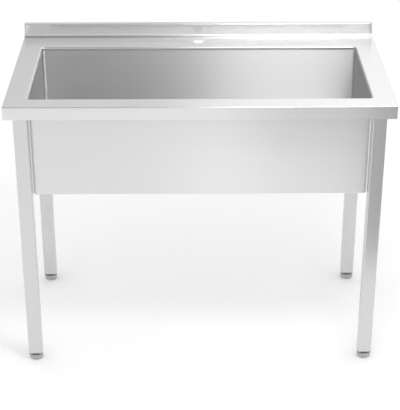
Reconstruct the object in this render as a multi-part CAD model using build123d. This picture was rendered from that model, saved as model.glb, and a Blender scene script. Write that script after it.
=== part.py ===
"""Free-standing stainless steel utility sink: one deep bowl in a folded worktop on four tube legs.

The frame: origin at the middle of the footprint, on the floor. +X is to the right as seen from
the front, +Y runs back to the wall and +Z is up. All sizes are in millimetres.

The form that takes the most skill is the sheet metal: a worktop folded down into hemmed aprons
and up into a hollow upstand with a cove at its foot, its opening turned down into the bowl with
a rolled lip, and a bowl whose floor is cross-broken to fall from every wall to a pressed seat.
"""
from build123d import *
import os

# Worktop
width = 1100.0
depth = 600.0
worktop_height = 850.0
gauge = 1.2                 # stainless sheet of the worktop and the bowl
apron_drop = 38.0           # folded edge, from the top of the worktop to its underside
hem_width = 12.0            # inward return along the bottom of the aprons
rear_drop = 16.0            # how far the upstand's back skin hangs below the worktop
edge_radius = 2.5           # outside radius of the folded edges
rim_edge_radius = 2.4       # the same along the rim's outer edges, which meet in welded corners
upstand_height = 40.0
upstand_thickness = 20.0
cove_radius = 8.0           # visible radius where the worktop turns up into the upstand
cap_length = 15.0           # formed end pieces of the upstand
cap_top_round = 12.0        # rounding of their upright corner at the top
cap_foot_round = 2.0        # and at the foot, into which it tapers
back_rim = 99.0             # flat between the opening and the upstand
lip_radius = 4.0            # rolled edge of the opening
lip_drop = 10.0             # how far the opening's flange hangs down to the weld with the bowl
tap_hole_radius = 17.5

# Bowl
bowl_depth = 300.0          # from the worktop to the floor along the walls
bowl_corner = 9.0           # inside radius of the upright corners
bowl_overlap = 1.7          # how far the bowl's ends reach past the inner face of the legs
bowl_leg_gap = 0.8          # from the back face of the front legs to the bowl
floor_radius = 5.0          # inside radius between walls and floor
floor_fall = 6.0            # how much the cross-broken floor drops to the waste
drain_flat = 116.0          # side of the flat square in which the creases end
seat_radius = 45.0          # pressed recess that takes the waste
seat_depth = 3.2
waste_hole_radius = 30.0

# Waste
flange_radius = 43.0
flange_thickness = 1.2
seal_thickness = 2.0
seal_hole_gap = 0.5         # from the waste hole to the inside of the seals
dish_radius = 27.0
dish_flare = 1.5            # how much wider the dish is at its top
dish_depth = 4.0
slot_count = 8
slot_width = 4.0
slot_inner = 9.5
slot_outer = 24.0
tail_flange_radius = 43.0
tail_flange_thickness = 4.0
tail_wall = 3.9
funnel_height = 20.0
tail_thread_radius = 23.9   # G 1 1/2 outlet, 47.8 mm over the thread
tail_thread_length = 38.0
boss_radius = 8.0
boss_height = 16.0
spoke_count = 3
spoke_width = 3.0
insert_radius = 5.0
insert_height = 12.0
insert_drop = 14.0          # from the tail's upper face down to the insert
insert_recess = 1.0         # from the top of the boss down to the insert
screw_radius = 3.0
screw_length = 30.0
screw_head_radius = 6.0
screw_head_height = 3.0
driver_slot_width = 1.2
driver_slot_depth = 1.4

# Legs
leg_size = 40.0
leg_wall = 1.2
leg_corner = 3.0            # outside radius of the tube's corners
leg_side_inset = 24.5       # from the end of the worktop to the outer face of the legs
leg_front_inset = 20.0      # from the front edge to the front face of the front legs
leg_rear_inset = 58.0       # from the wall side to the back face of the rear legs
socket_plate = 3.0
spigot_wall = 2.5
spigot_length = 75.0
spigot_clearance = 0.3

# Leg bolts
bolt_radius = 4.0
bolt_head_radius = 7.0
bolt_head_height = 4.4
bolt_head_round = 3.5
bolt_hex = 5.0              # width across the flats of the key socket
bolt_hex_depth = 2.6
bolt_tip = 2.0              # thread that shows past the nut
bolt_top = 22.0             # from the top of the leg down to the upper bolt
bolt_pitch = 30.0
washer_radius = 8.0
washer_thickness = 1.6
nut_flats = 13.0
nut_height = 6.5
hole_clearance = 0.2
thread_clearance = 0.05

# Adjustable feet
foot_height = 26.0          # from the floor to the end of the tube, screwed right in
plug_flange = 2.0
plug_height = 25.0
plug_wall = 2.0
plug_clearance = 0.1
plug_boss_radius = 9.0
plug_rib = 2.0
stud_radius = 5.0
stud_length = 45.0          # thread above the collar
stud_chamfer = 1.0
collar_flats = 17.0
collar_height = 5.5
pad_radius = 20.5
pad_gap = 0.5               # between the pad and the collar
pad_bottom_round = 8.0
pad_top_round = 4.0
ball_radius = 7.0           # button on the stud's lower end, held in the pad
ball_height = 4.0
pad_floor = 6.0             # plastic under the button
pad_clearance = 0.3

overrun = 1.0               # how far a cut runs past the face that it opens

# Places that follow from the sizes
half_width = width / 2
front = -depth / 2
back = depth / 2
apron_bottom = worktop_height - apron_drop
upstand_face = back - upstand_thickness
cap_foot = worktop_height + cove_radius         # where the end pieces stand on the worktop
rear_start = upstand_face - cove_radius - edge_radius   # where the rim turns into the cove
wall_half = half_width - leg_side_inset - leg_size + bowl_overlap - gauge   # bowl's inside faces
wall_front = front + leg_front_inset + leg_size + bowl_leg_gap + gauge
open_back = upstand_face - back_rim
wall_back = open_back - lip_radius
bowl_top = worktop_height - lip_drop
floor_edge = worktop_height - bowl_depth        # floor along the walls
drain_x = 0.0
drain_y = (wall_front + wall_back) / 2
drain_flat_z = floor_edge - floor_fall
seat_z = drain_flat_z - seat_depth
seat_under = seat_z - gauge
tap_y = (open_back + upstand_face) / 2
plate_z = worktop_height - gauge - socket_plate  # underside of the plate, where the tube ends
leg_x = half_width - leg_side_inset - leg_size / 2
front_leg_y = front + leg_front_inset + leg_size / 2
rear_leg_y = back - leg_rear_inset - leg_size / 2
leg_bore = leg_size - 2 * leg_wall
spigot_size = leg_bore - 2 * spigot_clearance
collar_top = foot_height - plug_flange
pad_height = collar_top - collar_height - pad_gap
legs = {
    "front_left": (-leg_x, front_leg_y),
    "front_right": (leg_x, front_leg_y),
    "rear_left": (-leg_x, rear_leg_y),
    "rear_right": (leg_x, rear_leg_y),
}


def block(x_low, x_high, y_low, y_high, z_low, z_high):
    """A box between two corners."""
    size = Box(x_high - x_low, y_high - y_low, z_high - z_low)
    return Pos((x_low + x_high) / 2, (y_low + y_high) / 2, (z_low + z_high) / 2) * size


def prism(x_half, y_low, y_high, corner, z_low, z_high):
    """An upright prism, symmetrical about X = 0, with rounded corners."""
    outline = RectangleRounded(2 * x_half, y_high - y_low, corner)
    return extrude(Pos(0, (y_low + y_high) / 2, z_low) * outline, z_high - z_low)


def disc(radius, z_low, z_high, x=0.0, y=0.0):
    """An upright cylinder between two heights."""
    return Pos(x, y, (z_low + z_high) / 2) * Cylinder(radius, z_high - z_low)


def ring(outer, inner, z_low, z_high, x=0.0, y=0.0):
    """An upright ring between two heights."""
    hole = disc(inner, z_low - overrun, z_high + overrun, x, y)
    return disc(outer, z_low, z_high, x, y) - hole


def turned(*points):
    """A solid of revolution about Z from an outline of (radius, height) points."""
    return revolve(Plane.XZ * make_face(Polyline(*points, close=True)), Axis.Z)


def round_at(face, places):
    """Rounds corners of a flat outline: each place is (x, y, radius)."""
    for x, y, radius in places:
        corner = face.vertices().sort_by_distance(Vector(x, y, 0))[0]
        face = fillet(corner, radius)
    return face


def upstand_outline(inset):
    """End view of the worktop's rear part, drawn a distance inside its outer faces."""
    face_y = upstand_face + inset
    back_y = back - inset
    rim_z = worktop_height - inset
    top_z = worktop_height + upstand_height - inset
    low_z = apron_bottom + inset
    outline = make_face(
        Polyline(
            (rear_start, low_z), (rear_start, rim_z), (face_y, rim_z), (face_y, top_z),
            (back_y, top_z), (back_y, low_z), close=True,
        )
    )
    fold = edge_radius - inset
    return round_at(
        outline,
        [(face_y, rim_z, cove_radius + inset), (face_y, top_z, fold), (back_y, top_z, fold)],
    )


def across(outline, x_low, x_high):
    """Extrudes an end view from one X to another."""
    return extrude(Pos(x_low, 0, 0) * (Plane.YZ * outline), x_high - x_low)


def tray(inset):
    """The worktop in front of the cove, as a block with folded edges."""
    side = half_width - inset
    solid = block(
        -side, side, front + inset, rear_start, apron_bottom + inset, worktop_height - inset
    )
    uprights = solid.edges().filter_by(Axis.Z).group_by(Axis.Y)[0]
    solid = fillet(uprights, edge_radius - inset)
    top = solid.edges().group_by(Axis.Z)[-1]
    rear = top.filter_by(Axis.X).sort_by(Axis.Y)[-1]
    return fillet([edge for edge in top if edge != rear], rim_edge_radius - inset)


def make_worktop():
    """Folded worktop: aprons with hems, upstand with cove, and the opening with its rolled lip."""
    outer = tray(0) + across(upstand_outline(0), -half_width, half_width)
    inside = half_width - gauge
    hollow = tray(gauge) + across(upstand_outline(gauge), -inside, inside)
    top = outer - hollow
    for side in (-1, 1):
        low, high = sorted((side * (half_width - cap_length), side * (half_width + overrun)))
        top -= block(
            low, high, upstand_face - overrun, back + overrun,
            cap_foot, worktop_height + upstand_height + overrun,
        )
    top -= block(
        -half_width + hem_width, half_width - hem_width, front + hem_width, back - hem_width,
        apron_bottom - overrun, apron_bottom + gauge + overrun,
    )
    top -= block(
        -half_width + hem_width, half_width - hem_width, back - hem_width - overrun, back + overrun,
        apron_bottom - overrun, worktop_height - rear_drop,
    )
    top += prism(
        wall_half + gauge, wall_front - gauge, wall_back + gauge, bowl_corner + gauge,
        bowl_top, worktop_height - gauge / 2,
    )
    top -= prism(
        wall_half, wall_front, wall_back, bowl_corner, bowl_top - overrun, worktop_height + overrun
    )
    top = fillet(flange_edges(top, worktop_height - gauge), lip_radius - gauge)
    top = fillet(flange_edges(top, worktop_height), lip_radius)
    return top - disc(tap_hole_radius, apron_bottom, worktop_height + overrun, 0, tap_y)


def flange_edges(solid, height):
    """The closed run of edges round the opening's flange at one height."""
    reach = wall_half + 2 * gauge
    near = [
        edge for edge in solid.edges()
        if abs(edge.center().Z - height) < 0.01 and abs(edge.bounding_box().size.Z) < 0.01
        and abs(edge.center().X) < reach
        and wall_front - 2 * gauge < edge.center().Y < wall_back + 2 * gauge
    ]
    return ShapeList(near)


def cap_form(inset):
    """The right-hand end piece of the upstand as a solid, drawn a distance inside its faces."""
    reach = overrun if inset else 0
    x_low, x_high = half_width - cap_length - reach, half_width - inset
    y_low, y_high = upstand_face + inset, back - inset
    outlines = []
    for radius, height in (
        (cap_foot_round, cap_foot - reach),
        (cap_top_round, worktop_height + upstand_height - inset),
    ):
        outline = make_face(
            Polyline((x_low, y_low), (x_high, y_low), (x_high, y_high), (x_low, y_high), close=True)
        )
        outlines.append(Pos(0, 0, height) * round_at(outline, [(x_high, y_low, radius - inset)]))
    return loft(outlines, ruled=True) & across(upstand_outline(inset), x_low, x_high)


def make_upstand_cap(side):
    """Formed end piece of the upstand, with a tapering round corner, welded on and ground."""
    shell = cap_form(0) - cap_form(gauge)
    return shell if side > 0 else mirror(shell, about=Plane.YZ)


def bowl_shape(grow):
    """The bowl's inside (grow 0) or outside (grow one gauge), as a solid."""
    low = floor_edge - grow
    solid = prism(
        wall_half + grow, wall_front - grow, wall_back + grow, bowl_corner + grow, low, bowl_top
    )
    solid = fillet(solid.edges().group_by(Axis.Z)[0], floor_radius + grow)
    length = 2 * (wall_half - floor_radius)
    breadth = wall_back - wall_front - 2 * floor_radius
    wide = Pos(drain_x, drain_y, low) * Rectangle(length, breadth)
    narrow = Pos(drain_x, drain_y, low - floor_fall) * Rectangle(drain_flat, drain_flat)
    solid += loft([wide, narrow], ruled=True)
    seat = low - floor_fall - seat_depth
    return solid + disc(seat_radius + grow, seat, low - floor_fall, drain_x, drain_y)


def make_bowl():
    """Folded and welded bowl with a cross-broken floor and a pressed seat for the waste."""
    shell = bowl_shape(gauge) - bowl_shape(0)
    return shell - disc(
        waste_hole_radius, seat_under - overrun, seat_z + overrun, drain_x, drain_y
    )


def make_strainer():
    """Pressed strainer: a flange on the seat and a slotted dish in the waste hole."""
    top = seat_z + seal_thickness + flange_thickness
    low = top - flange_thickness
    dish = low - dish_depth
    sink = dish + flange_thickness
    inner = dish_radius - flange_thickness
    body = turned(
        (0, dish), (dish_radius, dish), (dish_radius + dish_flare, low), (flange_radius, low),
        (flange_radius, top), (inner + dish_flare, top), (inner, sink), (0, sink),
    )
    for slot in PolarLocations(0, slot_count):
        middle = (slot_inner + slot_outer) / 2
        cut = SlotOverall(slot_outer - slot_inner, slot_width)
        body -= slot * Pos(middle, 0, dish - overrun) * extrude(cut, flange_thickness + 2 * overrun)
    body -= turned(
        (0, sink - screw_head_height), (screw_radius + hole_clearance, sink - screw_head_height),
        (screw_head_radius + hole_clearance, sink), (0, sink),
    )
    return Pos(drain_x, drain_y, 0) * body


def screw_top():
    """Height of the strainer screw's head."""
    return seat_z + seal_thickness - dish_depth + flange_thickness


def make_strainer_screw():
    """Countersunk screw that draws the strainer and the tail together through the bowl."""
    top = screw_top()
    shank = top - screw_length
    head = turned(
        (0, shank), (screw_radius, shank), (screw_radius, top - screw_head_height),
        (screw_head_radius, top), (0, top),
    )
    slot = block(
        -screw_head_radius, screw_head_radius, -driver_slot_width / 2, driver_slot_width / 2,
        top - driver_slot_depth, top + overrun,
    )
    return Pos(drain_x, drain_y, 0) * (head - slot)


def make_strainer_seal():
    """Rubber ring between the strainer's flange and the pressed seat."""
    hole = waste_hole_radius + seal_hole_gap
    return ring(flange_radius, hole, seat_z, seat_z + seal_thickness, drain_x, drain_y)


def make_tail_seal():
    """Rubber ring between the underside of the seat and the tail's flange."""
    hole = waste_hole_radius + seal_hole_gap
    low = seat_under - seal_thickness
    return ring(tail_flange_radius, hole, low, seat_under, drain_x, drain_y)


def make_tail():
    """Moulded outlet: flange, funnel, threaded spout, and a spoked boss for the screw."""
    top = seat_under - seal_thickness
    neck = top - tail_flange_thickness - funnel_height
    end = neck - tail_thread_length
    bore = tail_thread_radius - tail_wall
    mouth = waste_hole_radius
    body = turned(
        (bore, end), (tail_thread_radius, end), (tail_thread_radius, neck),
        (mouth + tail_wall, top - tail_flange_thickness),
        (tail_flange_radius, top - tail_flange_thickness), (tail_flange_radius, top),
        (mouth, top), (bore, neck),
    )
    boss_top = insert_top() + insert_recess
    boss = disc(boss_radius, boss_top - boss_height, boss_top)
    for turn in PolarLocations(0, spoke_count):
        spoke = block(
            insert_radius, bore + tail_wall / 2, -spoke_width / 2, spoke_width / 2,
            boss_top - boss_height, boss_top,
        )
        boss += turn * spoke
    body += boss
    body -= disc(insert_radius, insert_top() - insert_height, boss_top + overrun)
    body -= disc(screw_radius + hole_clearance, boss_top - boss_height - overrun, boss_top)
    return Pos(drain_x, drain_y, 0) * body


def insert_top():
    """Height of the brass insert's upper face, low in the funnel."""
    return seat_under - seal_thickness - insert_drop


def make_tail_insert():
    """Brass thread insert in the tail's boss."""
    top = insert_top()
    return ring(
        insert_radius, screw_radius + thread_clearance, top - insert_height, top, drain_x, drain_y
    )


def bolt_heights():
    """Heights of the two bolts in each leg."""
    upper = plate_z - bolt_top
    return [upper, upper - bolt_pitch]


def along_y(shape, x, y, z):
    """Stands a piece, drawn upright, along +Y with its foot at a point."""
    return Pos(x, y, z) * (Rot(-90, 0, 0) * shape)


def make_leg(x, y):
    """Square tube with two bolt holes in its rear wall."""
    low = foot_height
    outer = RectangleRounded(leg_size, leg_size, leg_corner)
    inner = RectangleRounded(leg_bore, leg_bore, leg_corner - leg_wall)
    leg = Pos(x, y, low) * extrude(outer - inner, plate_z - low)
    for z in bolt_heights():
        hole = disc(bolt_radius + hole_clearance, 0, leg_size)
        leg -= along_y(hole, x, y, z)
    return leg


def make_socket(x, y):
    """Plate welded under the worktop, with the square spigot that the leg slides over."""
    plate = extrude(RectangleRounded(leg_size, leg_size, leg_corner), socket_plate)
    spigot_corner = leg_corner - leg_wall
    outer = RectangleRounded(spigot_size, spigot_size, spigot_corner)
    core = spigot_size - 2 * spigot_wall
    spigot = extrude(outer - Rectangle(core, core), spigot_length)
    socket = Pos(x, y, plate_z) * plate + Pos(x, y, plate_z - spigot_length) * spigot
    for z in bolt_heights():
        hole = disc(bolt_radius + hole_clearance, 0, leg_size)
        socket -= along_y(hole, x, y, z)
    return socket


def make_bolt():
    """Button-head bolt, drawn upright: the head's seat is at Z = 0 and the shank goes down."""
    grip = washer_thickness + leg_wall + spigot_clearance + spigot_wall
    shank = disc(bolt_radius, -(grip + nut_height + bolt_tip), 0)
    head = fillet(
        disc(bolt_head_radius, 0, bolt_head_height).edges().group_by(Axis.Z)[-1],
        bolt_head_round,
    )
    key = extrude(RegularPolygon(bolt_hex / 2, 6, major_radius=False), bolt_head_height)
    return shank + head - Pos(0, 0, bolt_head_height - bolt_hex_depth) * key


def fasteners():
    """Bolts, washers and weld nuts of the four legs, as three groups of eight solids."""
    bolts, washers, nuts = [], [], []
    washer = ring(washer_radius, bolt_radius + hole_clearance, 0, washer_thickness)
    nut = extrude(RegularPolygon(nut_flats / 2, 6, major_radius=False), nut_height)
    nut -= disc(bolt_radius + thread_clearance, -overrun, nut_height + overrun)
    for x, y in legs.values():
        outside = y + leg_size / 2
        inside = outside - leg_wall - spigot_clearance - spigot_wall - nut_height
        for z in bolt_heights():
            bolts.append(along_y(make_bolt(), x, outside + washer_thickness, z))
            washers.append(along_y(washer, x, outside, z))
            nuts.append(along_y(nut, x, inside, z))
    return bolts, washers, nuts


def make_plug(x, y):
    """Moulded end plug: a flange under the tube, and a ribbed cup with a threaded boss in it."""
    size = leg_bore - 2 * plug_clearance
    corner = leg_corner - leg_wall
    flange = extrude(RectangleRounded(leg_size, leg_size, leg_corner), plug_flange)
    core = size - 2 * plug_wall
    cup = extrude(RectangleRounded(size, size, corner) - Rectangle(core, core), plug_height)
    plug = flange + Pos(0, 0, plug_flange) * cup
    rib_length = core + plug_wall
    for long_x, long_y in ((rib_length, plug_rib), (plug_rib, rib_length)):
        plug += Pos(0, 0, plug_flange) * extrude(Rectangle(long_x, long_y), plug_height)
    top = plug_flange + plug_height
    plug += disc(plug_boss_radius, plug_flange, top)
    plug -= disc(stud_radius + thread_clearance, -overrun, top + overrun)
    return Pos(x, y, foot_height - plug_flange) * plug


def make_stud(x, y):
    """Levelling stud: thread, hexagon collar, neck and the button that turns in the pad."""
    collar_low = collar_top - collar_height
    stud = disc(stud_radius, pad_floor, collar_top + stud_length)
    stud = chamfer(stud.edges().group_by(Axis.Z)[-1], stud_chamfer)
    collar = RegularPolygon(collar_flats / 2, 6, major_radius=False)
    stud += Pos(0, 0, collar_low) * extrude(collar, collar_height)
    stud += disc(ball_radius, pad_floor, pad_floor + ball_height)
    return Pos(x, y, 0) * stud


def make_pad(x, y):
    """Round plastic pad that stands on the floor and holds the stud's button."""
    section = round_at(
        make_face(
            Polyline(
                (0, 0), (pad_radius, 0), (pad_radius, pad_height), (0, pad_height), close=True
            )
        ),
        [(pad_radius, 0, pad_bottom_round), (pad_radius, pad_height, pad_top_round)],
    )
    pad = revolve(Plane.XZ * section, Axis.Z)
    pocket = pad_floor + ball_height + pad_clearance
    pad -= disc(ball_radius + pad_clearance, pad_floor, pocket)
    pad -= disc(stud_radius + pad_clearance, pad_floor, pad_height + overrun)
    return Pos(x, y, 0) * pad


def save(node, shape):
    """Writes one node; a list of solids becomes one group."""
    if isinstance(shape, list):
        shape = Compound(children=shape)
    export_step(shape, f"parts/{node}.step")


os.makedirs("parts", exist_ok=True)
save("worktop", make_worktop())
save("upstand_cap_left", make_upstand_cap(-1))
save("upstand_cap_right", make_upstand_cap(1))
save("bowl", make_bowl())
save("waste_strainer", make_strainer())
save("strainer_screw", make_strainer_screw())
save("strainer_seal", make_strainer_seal())
save("tail_seal", make_tail_seal())
save("waste_tail", make_tail())
save("tail_insert", make_tail_insert())
for corner, (x, y) in legs.items():
    save(f"leg_{corner}", make_leg(x, y))
    save(f"leg_socket_{corner}", make_socket(x, y))
    save(f"leg_plug_{corner}", make_plug(x, y))
    save(f"foot_stud_{corner}", make_stud(x, y))
    save(f"foot_pad_{corner}", make_pad(x, y))
for node, solids in zip(("leg_bolts", "leg_washers", "leg_nuts"), fasteners()):
    save(node, solids)
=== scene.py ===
"""Free-standing stainless utility sink: finishes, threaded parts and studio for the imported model.

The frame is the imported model's own, in metres: the origin is on the floor in the middle of the
footprint, +X is to the right as seen from the front, +Y runs back to the wall and +Z is up.
"""

import logging
import math
from collections.abc import Callable, Sequence
from dataclasses import dataclass
from enum import Enum

import bmesh
import bpy
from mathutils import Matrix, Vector


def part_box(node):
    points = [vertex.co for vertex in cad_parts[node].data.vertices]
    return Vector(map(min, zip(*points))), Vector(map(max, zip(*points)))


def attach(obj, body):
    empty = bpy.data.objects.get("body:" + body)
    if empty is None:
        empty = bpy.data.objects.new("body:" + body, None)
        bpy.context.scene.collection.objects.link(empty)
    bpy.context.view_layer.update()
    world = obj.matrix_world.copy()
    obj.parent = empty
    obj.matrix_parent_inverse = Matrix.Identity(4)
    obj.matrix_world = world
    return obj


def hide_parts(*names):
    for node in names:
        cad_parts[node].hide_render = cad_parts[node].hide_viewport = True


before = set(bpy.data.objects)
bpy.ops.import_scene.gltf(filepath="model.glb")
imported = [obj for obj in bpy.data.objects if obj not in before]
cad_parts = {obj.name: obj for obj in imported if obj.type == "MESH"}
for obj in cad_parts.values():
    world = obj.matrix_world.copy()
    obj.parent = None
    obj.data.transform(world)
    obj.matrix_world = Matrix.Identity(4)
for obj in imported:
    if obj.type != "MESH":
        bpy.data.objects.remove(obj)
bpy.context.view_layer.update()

LOG = logging.getLogger("utility_sink")
MM = 0.001
WHITE = (1.0, 1.0, 1.0, 1.0)
SHARP = math.radians(35)    # edges that turn further than this stay sharp
NOISE = (0.25, 0.75)        # most values of a noise lie between these

# Each corner's side, from left (-1) to right (1), and its end, from front (-1) to rear (1).
CORNERS = {
    "front_left": (-1, -1),
    "front_right": (1, -1),
    "rear_left": (-1, 1),
    "rear_right": (1, 1),
}


class Grain(Enum):
    """How the polishing lines of a brushed piece run.

    Each value gives the lines' direction on the main faces, their direction on the folded faces,
    and the number of the axis along which those folded faces look.
    """

    ACROSS = ((1, 0, 0), (0, 0, 1), 0)      # along worktop and bowl, upright on their ends
    UPRIGHT = ((0, 0, 1), (0, 1, 0), 2)     # up the legs


def linear(colour: str) -> tuple[float, float, float, float]:
    """Turns an sRGB hex colour into linear light.

    Args:
        colour: The colour, such as "#C8C8C6".

    Returns:
        Red, green, blue and an alpha of 1.
    """
    parts = [int(colour[i : i + 2], 16) / 255 for i in (1, 3, 5)]
    red, green, blue = (
        part / 12.92 if part <= 0.04045 else ((part + 0.055) / 1.055) ** 2.4 for part in parts
    )
    return red, green, blue, 1.0


def only_node(tree: bpy.types.NodeTree, kind: str) -> bpy.types.Node:
    """Returns a new tree's own node of a type, such as "BSDF_PRINCIPLED"."""
    return next(node for node in tree.nodes if node.type == kind)


def new_material(name: str) -> bpy.types.Material:
    """Starts a material made of nodes.

    Args:
        name: Its name.

    Returns:
        The new material.
    """
    made = bpy.data.materials.new(name)
    made.use_nodes = True
    return made


def show(name: str, data: bpy.types.ID) -> bpy.types.Object:
    """Puts a mesh, a camera or a lamp in the scene.

    Args:
        name: The object's name.
        data: The mesh, camera or lamp.

    Returns:
        The new object.
    """
    shown = bpy.data.objects.new(name, data)
    bpy.context.scene.collection.objects.link(shown)
    return shown


def aim_at(thing: bpy.types.Object, at: Sequence[float], point: Sequence[float]) -> None:
    """Places a camera or a lamp and turns it towards a point.

    Args:
        thing: The camera or the lamp.
        at: Its place.
        point: The point that it faces.
    """
    thing.location = at
    thing.rotation_euler = (Vector(point) - Vector(at)).to_track_quat("-Z", "Y").to_euler()


def add_node(
    tree: bpy.types.NodeTree, kind: str, inputs: dict | None = None, **settings: object
) -> bpy.types.Node:
    """Adds a shader node with its settings, values and links.

    Args:
        tree: The node tree.
        kind: The node's type without its "ShaderNode" prefix.
        inputs: For each socket, by name or index, a value or the output socket to link to it.
        settings: The node's own properties.

    Returns:
        The new node.
    """
    node = tree.nodes.new("ShaderNode" + kind)
    for name, value in settings.items():
        setattr(node, name, value)
    for name, value in (inputs or {}).items():
        if isinstance(value, bpy.types.NodeSocket):
            tree.links.new(value, node.inputs[name])
        else:
            node.inputs[name].default_value = value
    return node


@dataclass(frozen=True)
class Finish:
    """A surface finish: what the material is and how it was made.

    Attributes:
        name: The material's name.
        colour: Its base colour in sRGB hex.
        roughness: The middle of its roughness.
        metallic: 1 for bare metal.
        ior: Index of refraction; metals keep the default.
        tone: How far places on it are lighter or darker, as a share of the colour.
        polish: How far they are duller or brighter, as a step of the roughness.
    """

    name: str
    colour: str
    roughness: float
    metallic: float = 1.0
    ior: float = 1.5
    tone: float = 0.05
    polish: float = 0.05

    def material(self) -> bpy.types.Material:
        """Makes the material.

        Returns:
            The finished material.
        """
        made = new_material(self.name)
        tree = made.node_tree
        shader = only_node(tree, "BSDF_PRINCIPLED")
        shader.inputs["Base Color"].default_value = linear(self.colour)
        shader.inputs["Roughness"].default_value = self.roughness
        shader.inputs["Metallic"].default_value = self.metallic
        shader.inputs["IOR"].default_value = self.ior
        self.detail(tree, shader)
        return made

    def detail(self, tree: bpy.types.NodeTree, shader: bpy.types.Node) -> None:
        """Adds what the eye sees on the surface close up, which each kind of finish has."""
        raise NotImplementedError

    def vary(
        self, tree: bpy.types.NodeTree, shader: bpy.types.Node, value: bpy.types.NodeSocket
    ) -> None:
        """Lets a noise shift the colour and the roughness about their middle.

        Args:
            tree: The node tree.
            shader: The surface's shader.
            value: Noise around 0.5.
        """
        noise = {"Value": value, "From Min": NOISE[0], "From Max": NOISE[1]}
        ends = {"To Min": 1 - self.tone, "To Max": 1 + self.tone}
        gain = add_node(tree, "MapRange", {**noise, **ends}, clamp=False).outputs[0]
        base = shader.inputs["Base Color"].default_value[:3]
        shade = add_node(tree, "VectorMath", {0: base, "Scale": gain}, operation="SCALE")
        tree.links.new(shade.outputs[0], shader.inputs["Base Color"])
        ends = {"To Min": self.roughness - self.polish, "To Max": self.roughness + self.polish}
        rough = add_node(tree, "MapRange", {**noise, **ends}, clamp=False).outputs[0]
        tree.links.new(rough, shader.inputs["Roughness"])

    def relief(
        self,
        tree: bpy.types.NodeTree,
        shader: bpy.types.Node,
        layers: Sequence[tuple[bpy.types.NodeSocket, float]],
    ) -> None:
        """Adds surface relief, the coarsest layer first.

        Args:
            tree: The node tree.
            shader: The surface's shader.
            layers: For each layer its height value and its height in metres.
        """
        below = {}
        for height, distance in layers:
            inputs = {"Height": height, "Distance": distance, "Strength": 1.0, **below}
            below = {"Normal": add_node(tree, "Bump", inputs).outputs[0]}
        tree.links.new(below["Normal"], shader.inputs["Normal"])


@dataclass(frozen=True)
class BrushedSheet(Finish):
    """Satin stainless sheet, brushed with a belt: long parallel lines that draw a reflection out
    across themselves, so lamps and edges show as soft bands."""

    tone: float = 0.028
    polish: float = 0.02
    grain: Grain = Grain.ACROSS
    folded_from: float = 0.7         # how squarely a face looks along the fold's axis
    anisotropy: float = 0.6
    line_width: float = 0.6 * MM     # real lines are 0.1 mm; drawn coarser to show at all
    line_length: float = 260 * MM
    line_height: float = 0.0012 * MM
    band_width: float = 8 * MM       # passes of the belt
    band_length: float = 1400 * MM
    crispness: float = 0.6           # how strong the finer lines within a line or band are
    wave_size: float = 260 * MM      # slack in the flat sheet
    wave_height: float = 0.06 * MM

    def detail(self, tree: bpy.types.NodeTree, shader: bpy.types.Node) -> None:
        """Draws the grain along the sheet and turns it where the sheet is folded.

        Args:
            tree: The node tree.
            shader: The surface's shader.
        """
        facing = add_node(tree, "NewGeometry").outputs["Normal"]
        axes = add_node(tree, "SeparateXYZ", {0: facing}).outputs
        main, other, axis = self.grain.value
        size = add_node(tree, "Math", {0: axes[axis]}, operation="ABSOLUTE").outputs[0]
        inputs = {0: size, 1: self.folded_from}
        folded = add_node(tree, "Math", inputs, operation="GREATER_THAN").outputs[0]
        # A Mix node's vectors are its sockets 4 and 5, and their mixture is output 1.
        inputs = {0: folded, 4: main, 5: other}
        along = add_node(tree, "Mix", inputs, data_type="VECTOR").outputs[1]
        inputs = {0: facing, 1: along}
        spread = add_node(tree, "VectorMath", inputs, operation="CROSS_PRODUCT").outputs[0]
        shader.inputs["Anisotropic"].default_value = self.anisotropy
        tree.links.new(spread, shader.inputs["Tangent"])
        place = add_node(tree, "TexCoord").outputs["Object"]
        lines = self.streaks(tree, place, along, self.line_width, self.line_length)
        bands = self.streaks(tree, place, along, self.band_width, self.band_length)
        self.vary(tree, shader, add_node(tree, "Mix", {0: 0.5, 2: lines, 3: bands}).outputs[0])
        inputs = {"Vector": place, "Scale": 1 / self.wave_size, "Detail": 1.0}
        slack = add_node(tree, "TexNoise", inputs).outputs["Fac"]
        self.relief(tree, shader, [(slack, self.wave_height), (lines, self.line_height)])

    def streaks(
        self,
        tree: bpy.types.NodeTree,
        place: bpy.types.NodeSocket,
        along: bpy.types.NodeSocket,
        width: float,
        length: float,
    ) -> bpy.types.NodeSocket:
        """Adds noise drawn out along the grain.

        Args:
            tree: The node tree.
            place: The place on the piece.
            along: The grain's direction there, which is one of the axes.
            width: Width of a streak in metres.
            length: Its length in metres.

        Returns:
            The noise's value.
        """
        across = 1 / width
        inputs = {0: along, 1: [1 / length - across] * 3, 2: [across] * 3}
        scale = add_node(tree, "VectorMath", inputs, operation="MULTIPLY_ADD").outputs[0]
        inputs = {0: place, 1: scale}
        drawn = add_node(tree, "VectorMath", inputs, operation="MULTIPLY").outputs[0]
        inputs = {"Vector": drawn, "Scale": 1.0, "Roughness": self.crispness}
        return add_node(tree, "TexNoise", inputs).outputs["Fac"]


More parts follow.
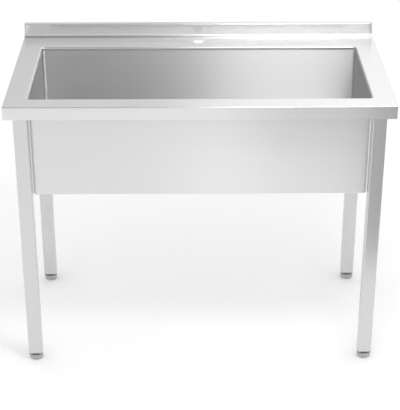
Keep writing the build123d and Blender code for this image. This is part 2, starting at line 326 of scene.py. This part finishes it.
@dataclass(frozen=True)
class BowlSheet(BrushedSheet):
    """The same sheet as a welded bowl, whose inside is ground dull after the welding."""

    anisotropy: float = 1.0
    inside: float = 0.14             # how much rougher the inside is

    def detail(self, tree: bpy.types.NodeTree, shader: bpy.types.Node) -> None:
        """Adds the brushing, then dulls the faces that look towards the bowl's middle.

        Args:
            tree: The node tree.
            shader: The surface's shader.
        """
        super().detail(tree, shader)
        inputs = {0: add_node(tree, "TexCoord").outputs["Object"], 1: tuple(middle("bowl"))}
        outward = add_node(tree, "VectorMath", inputs, operation="SUBTRACT").outputs[0]
        inputs = {0: outward, 1: add_node(tree, "NewGeometry").outputs["Normal"]}
        side = add_node(tree, "VectorMath", inputs, operation="DOT_PRODUCT").outputs["Value"]
        inner = add_node(tree, "Math", {0: side, 1: 0.0}, operation="LESS_THAN").outputs[0]
        outer_finish = shader.inputs["Roughness"].links[0].from_socket
        finish = add_node(
            tree, "Math", {0: inner, 1: self.inside, 2: outer_finish}, operation="MULTIPLY_ADD"
        )
        tree.links.new(finish.outputs[0], shader.inputs["Roughness"])


@dataclass(frozen=True)
class MarkedFinish(Finish):
    """A finish with soft patches and, closer up, the fine marks of how it was made.

    Attributes:
        patch: Size of the patches.
        mark: Size of the marks.
        mark_length: Their length across the upright axis, where they are drawn out.
        mark_height: How far they stand proud.
        mark_layers: How many finer layers they have.
    """

    patch: float = 10 * MM
    mark: float = 1.0 * MM
    mark_length: float | None = None
    mark_height: float = 0.01 * MM
    mark_layers: float = 2.0

    def detail(self, tree: bpy.types.NodeTree, shader: bpy.types.Node) -> None:
        """Adds the patches and the marks.

        Args:
            tree: The node tree.
            shader: The surface's shader.
        """
        place = add_node(tree, "TexCoord").outputs["Object"]
        inputs = {"Vector": place, "Scale": 1 / self.patch}
        self.vary(tree, shader, add_node(tree, "TexNoise", inputs).outputs["Fac"])
        across = 1 / (self.mark_length or self.mark)
        inputs = {0: place, 1: (across, across, 1 / self.mark)}
        drawn = add_node(tree, "VectorMath", inputs, operation="MULTIPLY").outputs[0]
        inputs = {"Vector": drawn, "Scale": 1.0, "Detail": self.mark_layers}
        marks = add_node(tree, "TexNoise", inputs).outputs["Fac"]
        self.relief(tree, shader, [(marks, self.mark_height)])


@dataclass(frozen=True)
class MillSteel(MarkedFinish):
    """Stainless plate and tube as rolled: dull grey, with faint clouds and a pebble that the
    rolls leave."""

    tone: float = 0.10
    polish: float = 0.06
    patch: float = 14 * MM
    mark: float = 0.8 * MM


@dataclass(frozen=True)
class TurnedMetal(MarkedFinish):
    """Metal cut on a lathe or cold-headed: bright, with fine rings round its axis and a little
    haze from handling."""

    tone: float = 0.06
    patch: float = 5 * MM
    mark: float = 0.5 * MM           # real tool marks are 0.1 mm; drawn coarser to show at all
    mark_length: float | None = 25 * MM
    mark_height: float = 0.006 * MM
    mark_layers: float = 1.0


@dataclass(frozen=True)
class PressedSteel(MarkedFinish):
    """Stainless deep-drawn and tumbled bright: a mirror with a little orange peel and soft wear
    marks."""

    tone: float = 0.04
    polish: float = 0.04
    patch: float = 7 * MM
    mark: float = 1.5 * MM
    mark_height: float = 0.012 * MM


@dataclass(frozen=True)
class Moulded(MarkedFinish):
    """Injection-moulded plastic or rubber: even colour with faint flow marks, and a fine
    spark-eroded texture that breaks up the highlight."""

    metallic: float = 0.0
    tone: float = 0.07
    polish: float = 0.06
    patch: float = 12 * MM
    mark: float = 0.7 * MM           # real texture is 0.1 mm; drawn coarser to show at all
    mark_height: float = 0.02 * MM


# Stainless steel is a neutral grey metal: bright in a white studio where it is brushed or
# pressed, and darker where it is left as rolled.
SHEET = BrushedSheet("brushed_stainless_sheet", "#E3E3E3", 0.26)
# The bowl's steel is painted a shade lighter than the worktop's same sheet. This is painted light
# that brightens the inside of the bowl.
BOWL_SHEET = BowlSheet("brushed_stainless_bowl", "#EBEBEB", 0.30)
TUBE = BrushedSheet(
    "brushed_stainless_tube", "#D4D4D4", 0.30, grain=Grain.UPRIGHT, band_width=6 * MM,
    wave_height=0.05 * MM,
)
SOCKET = MillSteel("mill_finish_stainless", "#BDBDBA", 0.42)
STRAINER = PressedSteel("bright_pressed_stainless", "#DEDEDE", 0.14)
FASTENER = TurnedMetal("plain_stainless_fastener", "#CBCAC7", 0.27)
# The small fittings: yellow brass, near-black rubber and greys of unpainted plastic.
BRASS = TurnedMetal("turned_brass", "#D6B469", 0.30)
RUBBER = Moulded("black_moulded_rubber", "#1D1D1E", 0.62, ior=1.52)
OUTLET = Moulded("grey_polypropylene_outlet", "#9A9B99", 0.46, ior=1.49)
PLUG = Moulded("grey_polyamide_plug", "#6F7070", 0.52, ior=1.53)
PAD = Moulded("grey_polyamide_pad", "#ADAEAD", 0.50, ior=1.53)


def dress(node: str, material: bpy.types.Material) -> None:
    """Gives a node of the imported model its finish.

    Args:
        node: The node's name.
        material: The finish.
    """
    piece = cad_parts[node]
    piece.data.materials.clear()
    piece.data.materials.append(material)
    LOG.info("%s: %s", node, material.name)


@dataclass(frozen=True)
class Thread:
    """A screw thread: a flat root, a flank up, a flat crest and a flank down in each pitch.

    Attributes:
        outer: Radius over the crests.
        inner: Radius at the roots.
        pitch: Rise of one turn.
        root: Where the root ends, in pitches.
        crest: Where the crest starts and where it ends.
    """

    outer: float
    inner: float
    pitch: float
    root: float = 0.25
    crest: tuple[float, float] = (0.5625, 0.6875)

    @property
    def bends(self) -> tuple[float, ...]:
        """The places across one pitch where the form bends, from root to root."""
        return 0.0, self.root, *self.crest, 1.0

    def radius(self, turn: float) -> float:
        """Gives the radius at a place across the thread.

        Args:
            turn: The place, in pitches from the start of a root.

        Returns:
            The radius in metres.
        """
        part = turn % 1.0
        up = (part - self.root) / (self.crest[0] - self.root)
        down = (1.0 - part) / (1.0 - self.crest[1])
        return self.inner + (self.outer - self.inner) * min(max(up, 0.0), 1.0, down)


class TurnedPiece:
    """Builds a mesh of closed shells, each of rings stacked along an upright axis, with threads
    and ribs between them."""

    DIGITS = 9      # heights are told apart to a nanometre

    def __init__(self, x: float, y: float, segments: int = 48) -> None:
        """Starts the piece.

        Args:
            x: Place of the axis.
            y: Place of the axis.
            segments: Points round each ring.
        """
        self.mesh = bmesh.new()
        self.x, self.y, self.segments = x, y, segments
        self.rings: list[list[bmesh.types.BMVert]] = []

    def point(self, step: int, radius: float, height: float) -> bmesh.types.BMVert:
        """Adds one point of a ring.

        Args:
            step: Its number round the ring.
            radius: Its distance from the axis.
            height: Its height.

        Returns:
            The new point.
        """
        angle = 2 * math.pi * step / self.segments
        at = (self.x + radius * math.cos(angle), self.y + radius * math.sin(angle), height)
        return self.mesh.verts.new(at)

    def join(self, points: Sequence[bmesh.types.BMVert]) -> None:
        """Adds a face through the points that differ.

        Args:
            points: The face's corners in order, some of them perhaps the same.
        """
        unique = list(dict.fromkeys(points))
        if len(unique) > 2:
            self.mesh.faces.new(unique)

    def stack(self, ring: list[bmesh.types.BMVert]) -> None:
        """Joins a ring to the one under it.

        Args:
            ring: The ring's points in order.
        """
        if self.rings:
            low = self.rings[-1]
            for i in range(len(ring)):
                j = (i + 1) % len(ring)
                self.join((low[i], low[j], ring[j], ring[i]))
        self.rings.append(ring)

    def ring(self, height: float, radius: float | Callable[[float], float]) -> None:
        """Adds a ring.

        Args:
            height: Its height.
            radius: Its radius, or a function that gives it for an angle.
        """
        size = radius if callable(radius) else lambda angle: radius
        turn = 2 * math.pi / self.segments
        self.stack([self.point(i, size(i * turn), height) for i in range(self.segments)])

    def thread(self, low: float, high: float, thread: Thread, bevel: float) -> None:
        """Adds a threaded length.

        Args:
            low: Height of its lower end.
            high: Height of its upper end.
            thread: The thread.
            bevel: Size of the bevels that cut the thread off at its ends.
        """
        places: dict[tuple[int, float], bmesh.types.BMVert] = {}

        def corner(step: int, part: float) -> bmesh.types.BMVert:
            """Gives a corner of the thread, kept between its ends.

            Args:
                step: Steps climbed along the thread since its start.
                part: The place across the thread there, in pitches.

            Returns:
                The point, a new one only where there is none yet.
            """
            turn = step / self.segments + part - 1
            height = min(max(low + thread.pitch * turn, low), high)
            key = (step % self.segments, round(height, self.DIGITS))
            if key not in places:
                across = (height - low) / thread.pitch - key[0] / self.segments
                limit = thread.outer - bevel + min(height - low, high - height)
                places[key] = self.point(key[0], min(thread.radius(across), limit), height)
            return places[key]

        turns = int((high - low) / thread.pitch + 2)
        faces = [
            (corner(step, lower), corner(step + 1, lower),
             corner(step + 1, upper), corner(step, upper))
            for step in range(turns * self.segments)
            for lower, upper in zip(thread.bends, thread.bends[1:])
        ]
        bottom, top = (
            [places[(i, round(end, self.DIGITS))] for i in range(self.segments)]
            for end in (low, high)
        )
        self.stack(bottom)
        for face in faces:
            self.join(face)
        self.rings.append(top)

    def cap(self) -> None:
        """Closes both ends with flat faces."""
        self.mesh.faces.new(list(reversed(self.rings[0])))
        self.mesh.faces.new(self.rings[-1])

    def close(self) -> None:
        """Joins the last ring to the first, for a hollow piece."""
        self.stack(self.rings[0])

    def shell(self) -> None:
        """Starts another closed shell in the same mesh."""
        self.rings = []

    def rib(
        self, angle: float, inner: float, outer: float, width: float, low: float, high: float
    ) -> None:
        """Adds an upright rib that runs out from the axis, as a shell of its own.

        Args:
            angle: Its direction in radians.
            inner: Radius where it starts.
            outer: Radius where it ends.
            width: Its thickness.
            low: Height of its lower edge.
            high: Height of its upper edge.
        """
        out = Vector((math.cos(angle), math.sin(angle), 0.0))
        side = Vector((-out.y, out.x, 0.0)) * (width / 2)
        plan = (out * inner - side, out * outer - side, out * outer + side, out * inner + side)
        self.shell()
        for height in (low, high):
            axis = Vector((self.x, self.y, height))
            self.stack([self.mesh.verts.new(axis + point) for point in plan])
        self.cap()

    def object(self, name: str, material: bpy.types.Material) -> bpy.types.Object:
        """Turns the mesh into a piece, shaded smooth over its rounds.

        Args:
            name: The piece's name.
            material: Its finish.

        Returns:
            The new object.
        """
        bmesh.ops.recalc_face_normals(self.mesh, faces=self.mesh.faces[:])
        data = bpy.data.meshes.new(name)
        self.mesh.to_mesh(data)
        self.mesh.free()
        data.materials.append(material)
        data.shade_smooth()
        data.set_sharp_from_angle(angle=SHARP)
        return show(name, data)


def middle(node: str) -> Vector:
    """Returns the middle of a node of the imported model."""
    low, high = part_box(node)
    return (low + high) / 2


@dataclass
class Worktop:
    """Folded worktop with its upstand, and the bowl welded into it."""

    caps: tuple[str, ...] = ("upstand_cap_left", "upstand_cap_right")

    def dress(self) -> None:
        """Finishes the sheet metal."""
        sheet = SHEET.material()
        for node in ("worktop", *self.caps):
            dress(node, sheet)
        dress("bowl", BOWL_SHEET.material())


@dataclass
class Waste:
    """Screwed waste: strainer, seals, outlet with its thread, brass insert and screw."""

    thread: Thread = Thread(23.9 * MM, 22.42 * MM, 2.309 * MM)
    shoulder: float = 3.0 * MM          # plain length above the thread
    wall: float = 3.9 * MM
    mouth: float = 30.0 * MM
    flange: float = 43.0 * MM
    flange_thickness: float = 4.0 * MM
    edge: float = 0.6 * MM              # moulded round of the flange and the boss
    spout: float = 38.0 * MM
    boss: float = 8.0 * MM
    boss_height: float = 16.0 * MM
    boss_drop: float = 13.0 * MM        # from the outlet's upper face to the top of the boss
    pocket: float = 5.0 * MM            # for the brass insert
    pocket_depth: float = 13.0 * MM
    screw_hole: float = 3.2 * MM
    ribs: int = 3
    rib_width: float = 3.0 * MM
    segments: int = 96

    def outlet(self, material: bpy.types.Material) -> None:
        """Moulds the outlet: flange, funnel, threaded spout, and a ribbed boss for the screw.

        Args:
            material: The moulding's finish.
        """
        low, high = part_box("waste_tail")
        axis = middle("waste_tail")
        bore = self.thread.outer - self.wall
        neck = low.z + self.spout
        under = high.z - self.flange_thickness
        piece = TurnedPiece(axis.x, axis.y, self.segments)
        piece.ring(low.z, bore)
        depth = self.thread.outer - self.thread.inner
        piece.thread(low.z, neck - self.shoulder, self.thread, depth)
        for height, radius in (
            (neck - self.shoulder, self.thread.outer),
            (neck, self.thread.outer),
            (under, self.mouth + self.wall),
            (under, self.flange - self.edge),
            (under + self.edge, self.flange),
            (high.z - self.edge, self.flange),
            (high.z, self.flange - self.edge),
            (high.z, self.mouth),
            (neck, bore),
        ):
            piece.ring(height, radius)
        piece.close()
        top = high.z - self.boss_drop
        foot = top - self.boss_height
        piece.shell()
        for height, radius in (
            (foot, self.screw_hole),
            (foot, self.boss - self.edge),
            (foot + self.edge, self.boss),
            (top - self.edge, self.boss),
            (top, self.boss - self.edge),
            (top, self.pocket),
            (top - self.pocket_depth, self.pocket),
            (top - self.pocket_depth, self.screw_hole),
        ):
            piece.ring(height, radius)
        piece.close()
        for i in range(self.ribs):
            piece.rib(
                2 * math.pi * i / self.ribs, self.boss - self.edge, bore + self.wall / 2,
                self.rib_width, foot, top,
            )
        outlet = piece.object("outlet", material)
        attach(outlet, "root")
        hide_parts("waste_tail")
        LOG.info("%s: threaded moulding", outlet.name)

    def build(self) -> None:
        """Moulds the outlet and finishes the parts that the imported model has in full."""
        steel = STRAINER.material()
        rubber = RUBBER.material()
        for node in ("waste_strainer", "strainer_screw"):
            dress(node, steel)
        for node in ("strainer_seal", "tail_seal"):
            dress(node, rubber)
        dress("tail_insert", BRASS.material())
        self.outlet(OUTLET.material())


@dataclass
class Legs:
    """Four square tubes on sockets under the worktop, each held by two bolts."""

    def dress(self) -> None:
        """Finishes tubes, sockets, end plugs and fasteners."""
        tube, socket, plug = TUBE.material(), SOCKET.material(), PLUG.material()
        for corner in CORNERS:
            dress(f"leg_{corner}", tube)
            dress(f"leg_socket_{corner}", socket)
            dress(f"leg_plug_{corner}", plug)
        fastener = FASTENER.material()
        for node in ("leg_bolts", "leg_washers", "leg_nuts"):
            dress(node, fastener)


@dataclass
class Feet:
    """Screw-adjusted feet: a moulded pad that turns on the button of a threaded stud."""

    thread: Thread = Thread(5.0 * MM, 4.08 * MM, 1.5 * MM)
    button: float = 7.0 * MM
    button_height: float = 4.0 * MM
    flats: float = 17.0 * MM
    collar_height: float = 5.5 * MM
    turned_off: float = 1.01            # turned radius of its corners, over half its flats
    chamfer: float = math.radians(30)   # of those corners
    thread_length: float = 45.0 * MM
    thread_end: float = 1.0 * MM        # bevel of the thread's ends
    undercut: float = 1.0 * MM
    bevel: float = 0.4 * MM             # of the button

    def hexagon(self, angle: float) -> float:
        """Returns the radius of the collar's hexagon at an angle."""
        sixth = math.pi / 3
        return self.flats / 2 / math.cos((angle % sixth) - sixth / 2)

    def chamfered(self, angle: float) -> float:
        """Returns the same where the collar's corners are turned off."""
        return min(self.hexagon(angle), self.flats / 2 * self.turned_off)

    def stud(self, corner: str, material: bpy.types.Material) -> None:
        """Builds a stud with a real thread.

        Args:
            corner: The leg's place.
            material: The fasteners' finish.
        """
        node = f"foot_stud_{corner}"
        low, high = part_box(node)
        axis = middle(node)
        collar_top = high.z - self.thread_length
        collar_low = collar_top - self.collar_height
        neck = self.thread.outer
        rise = (self.flats / math.sqrt(3) - self.flats / 2) * math.tan(self.chamfer)
        piece = TurnedPiece(axis.x, axis.y)
        for height, radius in (
            (low.z, self.button - self.bevel),
            (low.z + self.bevel, self.button),
            (low.z + self.button_height - self.bevel, self.button),
            (low.z + self.button_height, self.button - self.bevel),
            (low.z + self.button_height, neck),
            (collar_low, neck),
            (collar_low, self.chamfered),
            (collar_low + rise, self.hexagon),
            (collar_top - rise, self.hexagon),
            (collar_top, self.chamfered),
            (collar_top, self.thread.inner),
        ):
            piece.ring(height, radius)
        piece.thread(collar_top + self.undercut, high.z, self.thread, self.thread_end)
        piece.cap()
        stud = piece.object(f"stud_{corner}", material)
        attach(stud, f"stud_{corner}")
        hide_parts(node)
        LOG.info("%s: threaded stud", stud.name)

    def build(self) -> None:
        """Builds the studs and finishes the pads."""
        steel, plastic = FASTENER.material(), PAD.material()
        for corner in CORNERS:
            self.stud(corner, steel)
            dress(f"foot_pad_{corner}", plastic)


@dataclass(frozen=True)
class Card:
    """A lit card, seen only in the metal.

    Attributes:
        name: Its name.
        at: Its middle.
        size: Its width and height.
        lights: Places along its width, from its middle, and the brightness there; 1 is white.
        low: Share of that brightness at its lower edge.
        high: The same at its upper edge.
        tilt: 90 degrees where it stands upright, 0 where it lies flat.
        turn: Degrees that it is turned about the upright axis.
    """

    name: str
    at: tuple[float, float, float]
    size: tuple[float, float]
    lights: tuple[tuple[float, float], ...]
    low: float = 1.0
    high: float = 1.0
    tilt: float = 90.0
    turn: float = 0.0


# The walls of the studio: dull on the left, bright from the middle to the right.
BACK_WALL = Card(
    "back_wall", (0.0, 4.2, 3.0), (12.0, 6.0),
    ((-5.0, 0.74), (-1.2, 0.80), (-0.6, 0.84), (-0.25, 0.76), (0.0, 0.98), (0.2, 1.10),
     (0.6, 1.15), (1.0, 1.20), (5.0, 1.20)),
    low=0.5, high=1.6,
)
FRONT_WALL = Card(
    "front_wall", (0.0, -4.5, 3.0), (12.0, 6.0),
    ((-5.0, 0.86), (-1.1, 0.86), (-0.8, 0.80), (-0.5, 0.80), (-0.2, 0.89), (0.05, 1.02),
     (0.25, 1.18), (0.6, 1.32), (1.0, 1.40), (5.0, 1.40)),
    low=0.6, high=1.5,
)
CEILING = Card(
    "ceiling", (0.0, -0.15, 4.8), (12.0, 8.7),
    ((-5.0, 0.62), (-1.6, 0.50), (-0.9, 0.32), (-0.06, 0.34), (0.06, 0.98), (5.0, 1.04)), tilt=0.0,
)
# The sides: grey cloth.
LEFT_WALL = Card(
    "left_wall", (-3.2, -0.15, 2.4), (8.7, 4.8), ((-4.3, 0.62), (4.3, 0.72)), turn=90.0,
)
RIGHT_WALL = Card(
    "right_wall", (3.2, -0.15, 2.4), (8.7, 4.8), ((-4.3, 0.62), (4.3, 0.80)), turn=90.0,
)
# A grey flag on the right in front of the sink.
FRONT_FLAG = Card(
    "front_flag", (1.0, -0.9, 0.6), (1.8, 1.2),
    ((-0.9, 0.97), (-0.7, 0.78), (-0.52, 0.72), (-0.45, 0.65), (-0.38, 0.46), (0.9, 0.43)),
)


@dataclass(frozen=True)
class Softbox:
    """A soft rectangular lamp.

    Attributes:
        at: Its middle.
        aim: The point that it faces.
        size: Its width and height.
        light: Its brightness, where 1 is white.
    """

    at: tuple[float, float, float] = (0.42, -0.95, 2.3)
    aim: tuple[float, float, float] = (0.3, 0.1, 0.65)
    size: tuple[float, float] = (0.7, 0.5)
    light: float = 8.0


@dataclass
class Studio:
    """Plain pale floor, soft white surroundings, one softbox and the camera."""

    reach: float = 20.0
    skirt: float = 0.05         # closes the step where one quarter of the floor is lower
    floor_colour: str = "#F7F7F7"
    floor_roughness: float = 0.9
    lift: float = 0.08          # floor's own brightness, seen only by the camera and in mirrors
    room: float = 0.98          # brightness of the white room, just short of clipping
    camera_at: tuple[float, float, float] = (-0.0313, -3.6, 2.2385)
    aim: tuple[float, float, float] = (-0.0007, -0.3, 0.5454)
    lens: float = 113.23        # in mm
    softbox: Softbox = Softbox()

    def camera(self) -> None:
        """Sets the camera at the photograph's viewing angle."""
        data = bpy.data.cameras.new("camera")
        data.lens = self.lens
        camera = show("camera", data)
        aim_at(camera, self.camera_at, self.aim)
        bpy.context.scene.camera = camera

    def floor(self) -> None:
        """Lays the floor in four quarters, each of which stays under its foot's pad."""
        paint = new_material("floor_paint")
        tree = paint.node_tree
        shader = only_node(tree, "BSDF_PRINCIPLED")
        shader.inputs["Base Color"].default_value = linear(self.floor_colour)
        shader.inputs["Roughness"].default_value = self.floor_roughness
        shader.inputs["Specular IOR Level"].default_value = 0.0
        shader.inputs["Emission Color"].default_value = WHITE
        path = add_node(tree, "LightPath").outputs
        seen = add_node(tree, "Math", {0: path["Is Camera Ray"], 1: path["Is Glossy Ray"]})
        seen = add_node(tree, "Math", {0: seen.outputs[0], 1: path["Is Transmission Ray"]})
        glow = add_node(tree, "Math", {0: seen.outputs[0], 1: self.lift}, operation="MULTIPLY")
        tree.links.new(glow.outputs[0], shader.inputs["Emission Strength"])
        for corner, (side, end) in CORNERS.items():
            data = bpy.data.meshes.new(f"floor_{corner}")
            wide, deep = side * self.reach, end * self.reach
            points = [
                (0, 0, 0), (wide, 0, 0), (wide, deep, 0), (0, deep, 0),
                (0, 0, -self.skirt), (wide, 0, -self.skirt), (0, deep, -self.skirt),
            ]
            faces = [(0, 1, 2, 3), (0, 4, 5, 1), (0, 3, 6, 4)]
            if side * end < 0:
                faces = [tuple(reversed(face)) for face in faces]
            data.from_pydata(points, [], faces)
            data.materials.append(paint)
            quarter = show(f"floor_{corner}", data)
            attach(quarter, f"pad_{corner}")

    def card(self, card: Card) -> None:
        """Hangs a lit card out of the camera's sight.

        Args:
            card: The card.
        """
        paint = new_material(card.name)
        tree = paint.node_tree
        tree.nodes.remove(only_node(tree, "BSDF_PRINCIPLED"))
        axes = add_node(
            tree, "SeparateXYZ", {0: add_node(tree, "TexCoord").outputs["Object"]}
        ).outputs
        wide, high = card.size[0] / 2, card.size[1] / 2
        part = {"Value": axes[0], "From Min": -wide, "From Max": wide}
        ramp = add_node(tree, "ValToRGB", {0: add_node(tree, "MapRange", part).outputs[0]})
        brightest = max(light for _, light in card.lights)
        elements = ramp.color_ramp.elements
        while len(elements) < len(card.lights):
            elements.new(0.5)       # anywhere: each gets its place below
        for element, (place, light) in zip(elements, card.lights):
            element.position = (place + wide) / card.size[0]
            element.color = (*[light / brightest] * 3, 1)
        rise = {
            "Value": axes[1], "From Min": -high, "From Max": high,
            "To Min": brightest * card.low, "To Max": brightest * card.high,
        }
        strength = add_node(tree, "MapRange", rise).outputs[0]
        glow = add_node(tree, "Emission", {"Color": ramp.outputs[0], "Strength": strength})
        out = only_node(tree, "OUTPUT_MATERIAL")
        tree.links.new(glow.outputs[0], out.inputs["Surface"])
        data = bpy.data.meshes.new(card.name)
        points = [(-wide, -high, 0), (wide, -high, 0), (wide, high, 0), (-wide, high, 0)]
        data.from_pydata(points, [], [(0, 1, 2, 3)])
        data.materials.append(paint)
        hung = show(card.name, data)
        hung.location = card.at
        hung.rotation_euler = (math.radians(card.tilt), 0, math.radians(card.turn))
        hung.visible_camera = False
        hung.visible_shadow = False
        hung.visible_diffuse = False

    def lamp(self) -> None:
        """Hangs the softbox in front of the sink and above it."""
        box = self.softbox
        data = bpy.data.lights.new("softbox", "AREA")
        data.shape = "RECTANGLE"
        data.size, data.size_y = box.size
        data.energy = box.light * math.pi * box.size[0] * box.size[1]
        aim_at(show("softbox", data), box.at, box.aim)

    def surroundings(self) -> None:
        """Lights the room evenly in white."""
        world = bpy.data.worlds.new("studio")
        world.use_nodes = True
        back = only_node(world.node_tree, "BACKGROUND")
        back.inputs["Color"].default_value = WHITE
        back.inputs["Strength"].default_value = self.room
        bpy.context.scene.world = world

    def build(self) -> None:
        """Sets up the whole studio."""
        scene = bpy.context.scene
        scene.view_settings.view_transform = "Standard"
        self.camera()
        self.floor()
        self.surroundings()
        for card in (BACK_WALL, FRONT_WALL, CEILING, LEFT_WALL, RIGHT_WALL, FRONT_FLAG):
            self.card(card)
        self.lamp()


def main() -> None:
    """Builds the sink's sub-assemblies in order."""
    logging.basicConfig(level=logging.INFO, format="%(name)s: %(message)s")
    Studio().build()
    Worktop().dress()
    Waste().build()
    Legs().dress()
    Feet().build()
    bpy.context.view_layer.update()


if __name__ == "__main__":
    main()
